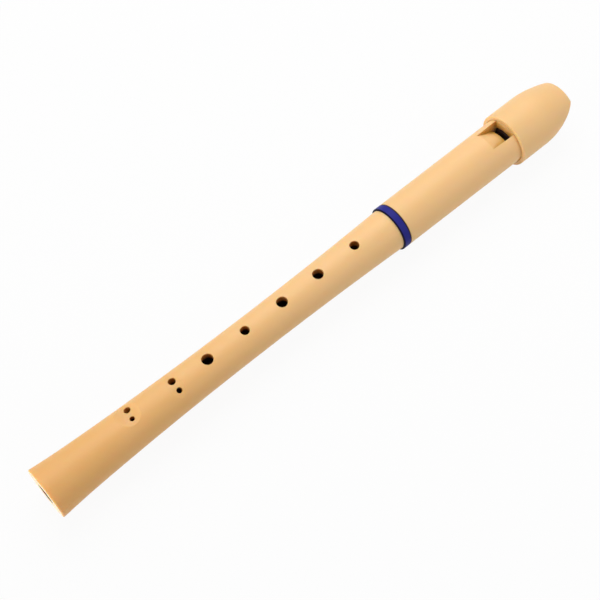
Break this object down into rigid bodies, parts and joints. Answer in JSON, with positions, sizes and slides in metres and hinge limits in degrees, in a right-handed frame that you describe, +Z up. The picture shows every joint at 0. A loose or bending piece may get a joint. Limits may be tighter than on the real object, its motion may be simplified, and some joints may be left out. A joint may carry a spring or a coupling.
{
  "type": "soprano recorder",
  "caption": "Two-joint school recorder with a flared one-piece body, scooped double finger holes, thumb hole, blue collar, windway, labium window and capped beak.",
  "frame": {"origin": "centre of the overall box, on the surface that the recorder lies on", "axes": "+X along the bore from the foot to the beak, +Z up through the single front finger holes, +Y toward the large hole of each double hole"},
  "size_m": [0.3224, 0.029, 0.029],
  "materials": {
    "cream_plastic": "satin",
    "cream_plastic_head": "satin",
    "cream_plastic_beak": "satin",
    "block_plastic": "matte",
    "blue_plastic": "satin",
    "black_rubber": "matte"
  },
  "bodies": {
    "body": {"body_joint": "cream_plastic", "tenon_seal": "black_rubber"},
    "collar": {"joint_ring": "blue_plastic"},
    "head": {"head_joint": "cream_plastic_head", "mouthpiece": "cream_plastic_beak", "block": "block_plastic"}
  },
  "joints": [
    {"name": "head_turn", "type": "hinge", "parent": "body", "child": "collar", "pos_m": [0.04518, 0, 0.0145], "axis": [1, 0, 0], "continuous": true},
    {"name": "head_pull", "type": "slide", "parent": "collar", "child": "head", "axis": [1, 0, 0], "range_m": [0, 0.024]}
  ]
}
